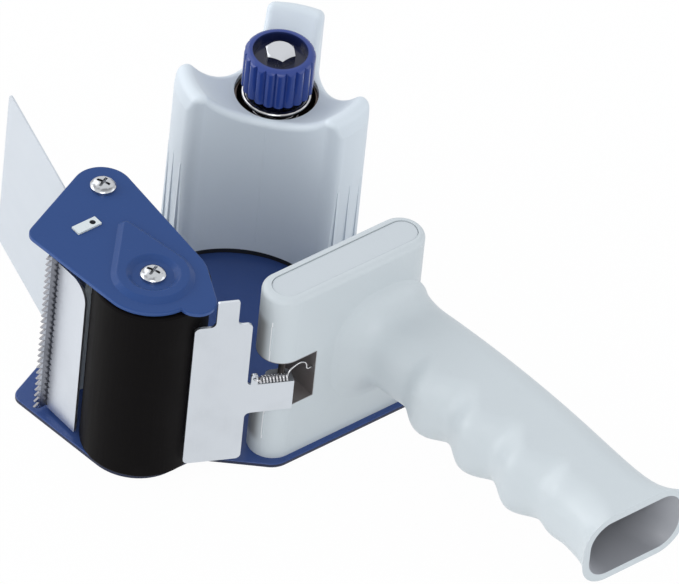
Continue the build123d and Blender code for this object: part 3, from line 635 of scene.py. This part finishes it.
@dataclass(frozen=True)
class RubberFinish(Finish):
    """Ground rubber with fine lengthwise marks and a dusty bloom."""

    roughness: float = 0.5
    specular: float = 0.05
    grind_depth: float = 0.00002
    grind_marks: Marks = Marks(16.0, 4.0, (60.0, 60.0, 4.0))
    grind_swing: float = 0.15
    bloom_marks: Marks = Marks(45.0, 5.0)
    bloom_step: Pair = (0.45, 0.8)
    bloom_factor: float = 1.6
    bloom_lift: float = 0.004
    bloom_share: float = 0.6
    bloom_dulls: float = 0.10

    def feeds(self, shade: Shade) -> dict[Key, Feed]:
        """Grinds the rubber and lays the bloom on it.

        Args:
            shade: The tree.

        Returns:
            What feeds the sockets of the surface.
        """
        grind = shade.noise(self.grind_marks)
        bloom = shade.noise(self.bloom_marks).ease(*self.bloom_step)
        pale = self.shifted(self.bloom_factor, self.bloom_lift)
        return {
            "Base Color": shade.mix(bloom * self.bloom_share, self.colour, pale),
            "Roughness": self.roughness + grind.swing(self.grind_swing) + bloom * self.bloom_dulls,
            "Normal": shade.bump(grind, self.grind_depth),
            "Specular IOR Level": self.specular,
        }


@dataclass(frozen=True)
class SheetFinish(Finish):
    """Thin milky plastic sheet that lets some light through."""

    roughness: float = 0.38
    milk: float = 0.12
    bending: float = 1.49
    roll_marks: Marks = Marks(10.0, 3.0, (1.0, 1.0, 14.0))
    roll_depth: float = 0.00004
    roll_swing: float = 0.18
    haze_marks: Marks = Marks(70.0, 4.0)
    haze_tone: float = 0.96

    def feeds(self, shade: Shade) -> dict[Key, Feed]:
        """Hazes the sheet and gives it its rolling marks.

        Args:
            shade: The tree.

        Returns:
            What feeds the sockets of the surface.
        """
        roll = shade.noise(self.roll_marks)
        haze = shade.noise(self.haze_marks)
        return {
            "Base Color": shade.mix(haze, self.colour, self.shifted(self.haze_tone)),
            "Roughness": self.roughness + roll.swing(self.roll_swing),
            "Normal": shade.bump(roll, self.roll_depth),
            "Transmission Weight": self.milk,
            "IOR": self.bending,
        }


class Palette:
    """The finishes of the dispenser, each made once."""

    def __init__(self) -> None:
        """Makes every material."""
        # Painted highlight: the head plate's edges take a paler blue.
        self.paint = PaintFinish(
            "blue_enamel", (0.0235, 0.0615, 0.1985), edge_shading=(0.11, 0.18, 0.42), specular=0.10
        ).build()
        # Painted shade: the side plate's edges take a near-black blue.
        self.dark_paint = PaintFinish(
            "blue_enamel_shaded", (0.033, 0.066, 0.205), edge_shading=(0.006, 0.008, 0.022), edge_shading_share=0.85
        ).build()
        self.handle = HandleFinish("grey_handle", (0.585, 0.632, 0.654)).build()
        self.hub = MouldedFinish("grey_hub", (0.670, 0.730, 0.780)).build()
        self.cap = MouldedFinish("grey_cap", (0.570, 0.612, 0.640), roughness=0.38).build()
        # Painted shade in the small round hole of the blade holder.
        self.holder = PittedFinish(
            "pale_moulding",
            (0.66, 0.71, 0.72),
            roughness=0.45,
            pit_x=-0.10807,
            pit_y=-0.03135,
            pit_r=0.0012,
            pit_top=0.0807,
            pit_soft=0.0002,
        ).build()
        # Painted shade in the knob's round recess.
        self.knob = PittedFinish(
            "blue_moulding",
            (0.019, 0.047, 0.235),
            roughness=0.24,
            specular=0.22,
            coat=0.40,
            mottle=0.12,
            grain=0.00001,
            grain_marks=Marks(900.0, 2.0),
        ).build()
        self.core = MouldedFinish("black_moulding", (0.012, 0.012, 0.013), roughness=0.5).build()
        self.plate = MetalFinish(
            "bright_sheet", (0.645, 0.685, 0.735), roughness=0.42, grain=Grain.ALONG_Z, stain=0.03
        ).build()
        self.rest = MetalFinish(
            "bright_strip", (0.73, 0.77, 0.83), roughness=0.38, grain=Grain.ALONG_Z, stain=0.03
        ).build()
        self.screw = MetalFinish("zinc_plate", (0.50, 0.52, 0.55), roughness=0.22).build()
        # Painted shade in the cross recesses and a painted dark reflection round them.
        self.pan = ScrewFinish(
            "zinc_pan_heads",
            (0.56, 0.58, 0.61),
            roughness=0.16,
            axes=((-0.0934, -0.0182), (-0.1066, -0.0647)),
        ).build()
        self.bolt = MetalFinish(
            "zinc_bolt", (0.62, 0.64, 0.68), roughness=0.24, stain=0.14
        ).build()
        self.chrome = MetalFinish(
            "chrome_ring", (0.80, 0.80, 0.82), roughness=0.06, stain=0.42
        ).build()
        self.blade = MetalFinish(
            "ground_blade", (0.30, 0.30, 0.32), roughness=0.30, grain=Grain.ALONG_Y
        ).build()
        self.bevel = MetalFinish(
            "ground_bevel", (0.62, 0.63, 0.66), roughness=0.22, grain=Grain.ALONG_X
        ).build()
        self.wire = MetalFinish("spring_wire", (0.62, 0.62, 0.64), roughness=0.18).build()
        # Painted shade: near-black plated steel for the posts that sit hidden between parts.
        self.dull_post = MetalFinish(
            "shaded_plate", (0.075, 0.066, 0.062), roughness=0.40
        ).build()
        self.cup = MetalFinish("black_oxide", (0.085, 0.068, 0.062), roughness=0.22).build()
        self.brass = MetalFinish("bearing_bronze", (0.55, 0.38, 0.18), roughness=0.35).build()
        self.rubber = RubberFinish("black_rubber", (0.0030, 0.0024, 0.0026)).build()
        self.sheet = SheetFinish("milky_sheet", (0.625, 0.665, 0.71)).build()


def bearings(count: int) -> list[float]:
    """Even bearings round a full turn, in radians."""
    return [math.tau * i / count for i in range(count)]


def lifted(reach: float, turn: float, level: float) -> Triple:
    """The point at a distance and a bearing from the hub's axis, at a level."""
    return (reach * math.cos(turn), reach * math.sin(turn), level)


@dataclass
class SubAssembly:
    """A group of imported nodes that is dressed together, with the small pieces that it adds."""

    nodes: Mapping[str, bpy.types.Object]
    palette: Palette

    def dress(self) -> None:
        """Gives every piece of the group its finish."""
        raise NotImplementedError

    def coat(self, material: bpy.types.Material, *names: str) -> None:
        """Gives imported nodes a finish.

        Args:
            material: The finish.
            names: The nodes.
        """
        for name in names:
            for slot in self.nodes[name].material_slots:
                slot.material = material
            LOG.info("%s: %s", name, material.name)

    def piece(
        self, name: str, mesh: bpy.types.Mesh, material: bpy.types.Material, slot: str
    ) -> bpy.types.Object:
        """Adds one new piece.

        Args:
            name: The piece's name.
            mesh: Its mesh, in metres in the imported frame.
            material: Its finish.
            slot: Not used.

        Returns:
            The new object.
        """
        mesh.materials.clear()
        mesh.materials.append(material)
        item = bpy.data.objects.new(name, mesh)
        bpy.context.scene.collection.objects.link(item)
        LOG.info("%s: %s", name, material.name)
        return item

    def prisms(
        self, name: str, outlines: Sequence[Sequence[Vector]], push: Vector
    ) -> bpy.types.Mesh:
        """A mesh of closed prisms.

        Args:
            name: The mesh's name.
            outlines: The flat corners of each prism.
            push: The way from each outline to its far side.

        Returns:
            The mesh.
        """
        points: list[Vector] = []
        faces: list[list[int]] = []
        for outline in outlines:
            count, base = len(outline), len(points)
            points += [*outline, *(corner + push for corner in outline)]
            near = list(range(base, base + count))
            faces += [near[::-1], [corner + count for corner in near]]
            for k, corner in enumerate(near):
                after = near[(k + 1) % count]
                faces.append([corner, after, after + count, corner + count])
        mesh = bpy.data.meshes.new(name)
        mesh.from_pydata(points, [], faces)
        return mesh

    def band(self, name: str, loops: Sequence[Sequence[Triple]]) -> bpy.types.Mesh:
        """A mesh that joins each loop of points to the next and the last one to the first.

        Args:
            name: The mesh's name.
            loops: Closed loops of equally many points.

        Returns:
            The mesh.
        """
        count = len(loops[0])
        faces: list[tuple[int, int, int, int]] = []
        for row in range(len(loops)):
            here, above = row * count, (row + 1) % len(loops) * count
            for i in range(count):
                after = (i + 1) % count
                faces.append((here + i, here + after, above + after, above + i))
        mesh = bpy.data.meshes.new(name)
        mesh.from_pydata([point for loop in loops for point in loop], [], faces)
        return mesh


@dataclass
class PlateFrame(SubAssembly):
    """Side plate, head plate and their fasteners."""

    def dress(self) -> None:
        """Paints the plates and plates the fasteners."""
        self.coat(self.palette.paint, "head_plate")
        self.coat(self.palette.dark_paint, "side_plate")
        self.coat(self.palette.pan, "pan_screws")
        self.coat(self.palette.screw, "countersunk_screws")
        self.coat(self.palette.dull_post, "tie_post")


@dataclass
class RollerUnit(SubAssembly):
    """The tape roller on its shaft."""

    def dress(self) -> None:
        """Finishes the roller."""
        self.coat(self.palette.rubber, "roller_sleeve")
        self.coat(self.palette.core, "roller_core")
        self.coat(self.palette.brass, "roller_bushings")
        self.coat(self.palette.screw, "roller_shaft")


@dataclass
class CutterHead(SubAssembly):
    """Blade, its holder, the tape rest and the wiper flap."""

    teeth: int = 27
    tooth_depth: float = 2.3 * MM
    bevel_share: float = 0.84
    bevel_proud: float = 0.02 * MM

    def bevels(self) -> None:
        """Lays the ground bevel of each tooth on the blade's outer face."""
        low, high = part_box("cutter_blade")
        pitch = (high.z - low.z) / self.teeth
        root, half = low.x + self.tooth_depth, self.bevel_share * pitch / 2
        tip = root - self.bevel_share * self.tooth_depth
        outlines: list[list[Vector]] = []
        for k in range(self.teeth):
            middle = low.z + (k + 0.5) * pitch
            corners = ((root, middle - half), (tip, middle), (root, middle + half))
            outlines.append([Vector((x, low.y - self.bevel_proud, z)) for x, z in corners])
        mesh = self.prisms("blade_bevels", outlines, Vector((0.0, 2 * self.bevel_proud, 0.0)))
        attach(self.piece("blade_bevels", mesh, self.palette.bevel, "blade_steel"), "frame")

    def dress(self) -> None:
        """Finishes the cutter."""
        self.coat(self.palette.holder, "blade_holder")
        self.coat(self.palette.blade, "cutter_blade")
        self.coat(self.palette.rest, "tape_rest")
        self.coat(self.palette.screw, "blade_rivets")
        self.coat(self.palette.sheet, "wiper_flap")
        self.bevels()


@dataclass
class TapeRetainer(SubAssembly):
    """The sprung plate that keeps the tape on the roller."""

    tail: float = 5.0 * MM
    hook: float = 3.0 * MM

    def coil(self) -> None:
        """Copies the pull spring's mesh into a new piece of spring wire and hides the imported
        spring.
        """
        mesh = self.nodes["retainer_spring"].data.copy()
        wire = self.piece("retainer_coil", mesh, self.palette.wire, "spring_steel")
        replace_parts(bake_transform(wire), "retainer_spring")

    def dress(self) -> None:
        """Finishes the retainer."""
        self.coat(self.palette.plate, "retainer_plate")
        self.coat(self.palette.dull_post, "retainer_pin")
        self.coil()


@dataclass
class HandGrip(SubAssembly):
    """The moulded block with its pistol grip and cap."""

    def dress(self) -> None:
        """Finishes the mouldings."""
        self.coat(self.palette.handle, "handle")
        self.coat(self.palette.cap, "handle_cap")


@dataclass
class HubStack(SubAssembly):
    """The tape hub with its brake and tension parts."""

    lobes: int = 3
    first_hollow: float = 101.0
    waist: float = 18.0 * MM
    line_width: float = 0.5 * MM
    line_proud: float = 0.12 * MM
    line_low: float = 8.0 * MM
    line_high: float = 62.0 * MM
    hollow_r: float = 38.5 * MM
    skirt_out: float = 34.5 * MM
    skirt_inset: float = 0.4 * MM
    skirt_wall: float = 0.45 * MM
    skirt_low: float = 1.7 * MM
    skirt_steps: int = 180
    ring_r: float = 11.9 * MM
    ring_wire: float = 0.9 * MM
    ring_steps: int = 96
    wire_steps: int = 16

    def hollows(self) -> list[float]:
        """The bearings of the hub's hollow sides, in radians."""
        turns = range(self.lobes)
        return [math.radians(self.first_hollow + 360.0 * k / self.lobes) for k in turns]

    def mould_lines(self) -> None:
        """Runs a faint mould line up the middle of each hollow side of the hub."""
        outlines: list[list[Vector]] = []
        for angle in self.hollows():
            out = Vector((math.cos(angle), math.sin(angle), 0.0))
            along = Vector((-out.y, out.x, 0.0)) * (self.line_width / 2)
            crest = out * (self.waist + self.line_proud)
            root = out * (self.waist - self.line_proud)
            base = Vector((0.0, 0.0, self.line_low))
            outlines.append([base + root - along, base + crest, base + root + along])
        rise = Vector((0.0, 0.0, self.line_high - self.line_low))
        mesh = self.prisms("hub_mould_lines", outlines, rise)
        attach(self.piece("hub_mould_lines", mesh, self.palette.hub, "grey_plastic"), "hub")

    def skirt_reach(self, angle: float, inset: float) -> float:
        """How far the lobed outline reaches.

        Args:
            angle: The bearing in radians.
            inset: How far inside the hub's own outline.

        Returns:
            The distance from the hub's axis.
        """
        centre = self.waist + self.hollow_r
        reach = self.skirt_out - inset
        for hollow in self.hollows():
            off = angle - hollow
            rest = (self.hollow_r + inset) ** 2 - (centre * math.sin(off)) ** 2
            if rest > 0.0 and math.cos(off) > 0.0:
                reach = min(reach, centre * math.cos(off) - math.sqrt(rest))
        return reach

    def shadow_skirt(self) -> None:
        """Hangs a thin dark skirt under the hub, a dark sheet that stands in for the shadow in the
        gap under the hub.
        """
        low, top = self.skirt_low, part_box("tape_hub")[0].z
        outer, inner = self.skirt_inset, self.skirt_inset + self.skirt_wall
        loops: list[list[Triple]] = []
        for inset, level in ((outer, low), (outer, top), (inner, top), (inner, low)):
            turns = bearings(self.skirt_steps)
            loops.append([lifted(self.skirt_reach(turn, inset), turn, level) for turn in turns])
        mesh = self.band("hub_shadow_skirt", loops)
        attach(self.piece("hub_shadow_skirt", mesh, self.palette.core, "dark_plastic"), "hub")

    def ring(self) -> None:
        """Rolls a bright rim round the edge of the thrust washer."""
        low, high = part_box("thrust_washer")
        loops: list[list[Triple]] = []
        for bend in bearings(self.wire_steps):
            reach = self.ring_r + self.ring_wire * math.cos(bend)
            level = (low.z + high.z) / 2 + self.ring_wire * math.sin(bend)
            loops.append([lifted(reach, turn, level) for turn in bearings(self.ring_steps)])
        mesh = self.band("thrust_rim", loops)
        mesh.polygons.foreach_set("use_smooth", [True] * len(mesh.polygons))
        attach(self.piece("thrust_rim", mesh, self.palette.chrome, "plated_steel"), "thrust")

    def coil(self) -> None:
        """Copies the tension spring's mesh into a new piece of spring wire and hides the imported
        spring.
        """
        mesh = self.nodes["tension_spring"].data.copy()
        wire = self.piece("tension_coil", mesh, self.palette.wire, "spring_steel")
        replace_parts(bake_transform(wire), "tension_spring")

    def dress(self) -> None:
        """Finishes the hub, brake and knob."""
        self.coat(self.palette.hub, "tape_hub")
        self.coat(self.palette.brass, "hub_bush")
        self.coat(self.palette.screw, "hub_spindle", "thrust_washer")
        self.coat(self.palette.bolt, "tension_bolt")
        self.coat(self.palette.rubber, "brake_washer")
        self.coat(self.palette.cup, "spring_cup")
        self.coat(self.palette.knob, "tension_knob")
        self.mould_lines()
        self.shadow_skirt()
        self.ring()
        self.coil()


@dataclass(frozen=True)
class Lamp:
    """One soft square lamp that looks at the object."""

    name: str
    place: Triple
    size: float
    watts: float

    def build(self, aim: Vector) -> None:
        """Makes the lamp.

        Args:
            aim: The point that it looks at.
        """
        light = bpy.data.lights.new(self.name, "AREA")
        light.size = self.size
        light.energy = self.watts
        item = bpy.data.objects.new(self.name, light)
        item.location = self.place
        item.rotation_euler = (aim - Vector(self.place)).to_track_quat("-Z", "Y").to_euler()
        item.visible_camera = False
        bpy.context.scene.collection.objects.link(item)


@dataclass
class Studio:
    """Pale floor, soft light and the camera of the photograph."""

    aim: Triple = (-0.01997, -0.0670, 0.030)
    azimuth: float = -42.0
    elevation: float = 42.5
    roll: float = 6.0
    lens: float = 800.0
    sensor: float = 36.0
    distance: float = 5.389
    farthest: float = 60.0
    floor_half: float = 12.0
    floor_level: float = -0.2 * MM
    paper_deep: Colour = (0.88, 0.88, 0.88)
    paper_pale: Colour = (0.92, 0.92, 0.92)
    paper_marks: Marks = Marks(240.0, 3.0)
    white: Colour = (1.0, 1.0, 1.0)
    white_level: float = 1.0
    white_share: float = 0.97
    sky: Colour = (0.95, 0.985, 1.03)
    sky_level: float = 0.745
    lamps: tuple[Lamp, ...] = (
        Lamp("left", (-1.65, 1.45, 0.5), size=1.6, watts=22.0),
        Lamp("right", (1.5, -1.5, 0.5), size=1.6, watts=6.5),
        Lamp("front", (-1.3, -1.45, 1.3), size=1.4, watts=8.6),
        Lamp("spark", (-1.2, -1.3, 1.6), size=0.3, watts=2.5),
        Lamp("back", (-0.2, 1.65, 1.15), size=1.6, watts=7.6),
    )

    def camera(self) -> None:
        """Places the camera at the photograph's angle."""
        turn, lift = math.radians(self.azimuth), math.radians(self.elevation)
        flat = math.cos(lift)
        back = Vector((math.sin(turn) * flat, -math.cos(turn) * flat, math.sin(lift)))
        data = bpy.data.cameras.new("camera")
        data.lens = self.lens
        data.sensor_width = self.sensor
        data.clip_end = self.farthest
        item = bpy.data.objects.new("camera", data)
        look = (-back).to_track_quat("-Z", "Y").to_matrix().to_4x4()
        place = Matrix.Translation(Vector(self.aim) + back * self.distance)
        item.matrix_world = place @ look @ Matrix.Rotation(math.radians(self.roll), 4, "Z")
        bpy.context.scene.collection.objects.link(item)
        bpy.context.scene.camera = item

    def floor(self) -> None:
        """Lays the pale floor, which looks white but keeps the soft shadow."""
        half, level = self.floor_half, self.floor_level
        mesh = bpy.data.meshes.new("floor")
        rim = ((-half, -half), (half, -half), (half, half), (-half, half))
        mesh.from_pydata([(x, y, level) for x, y in rim], [], [range(len(rim))])
        item = bpy.data.objects.new("floor", mesh)
        bpy.context.scene.collection.objects.link(item)
        shade = Shade.material("floor_paper")
        tone = shade.mix(shade.noise(self.paper_marks), self.paper_deep, self.paper_pale)
        paper = shade.node("ShaderNodeBsdfDiffuse", None, {"Color": tone})
        white = shade.glow("ShaderNodeEmission", self.white, self.white_level)
        both = shade.both(shade.seen() * self.white_share, paper, white)
        shade.node("ShaderNodeOutputMaterial", None, {"Surface": both})
        mesh.materials.append(shade.owner)

    def world(self) -> None:
        """Sets an even sky that the camera, metal and clear pieces see as white."""
        world = bpy.data.worlds.new("studio")
        bpy.context.scene.world = world
        shade = Shade(world)
        soft = shade.glow("ShaderNodeBackground", self.sky, self.sky_level)
        white = shade.glow("ShaderNodeBackground", self.white, self.white_level)
        both = shade.both(shade.seen(), soft, white)
        shade.node("ShaderNodeOutputWorld", None, {"Surface": both})

    def build(self) -> None:
        """Sets the whole studio up."""
        bpy.context.scene.view_settings.view_transform = "Standard"
        self.world()
        self.floor()
        for lamp in self.lamps:
            lamp.build(Vector(self.aim))
        self.camera()


def corners(box: tuple[Vector, Vector]) -> list[list[float]]:
    """A box as plain lists of numbers."""
    return [list(box[0]), list(box[1])]


def main() -> None:
    """Builds the dressed dispenser and its studio."""
    logging.basicConfig(level=logging.INFO, format="%(message)s")
    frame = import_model()
    palette = Palette()
    for group in (PlateFrame, RollerUnit, CutterHead, TapeRetainer, HandGrip, HubStack):
        group(frame["nodes"], palette).dress()
    Studio().build()


if __name__ == "__main__":
    main()
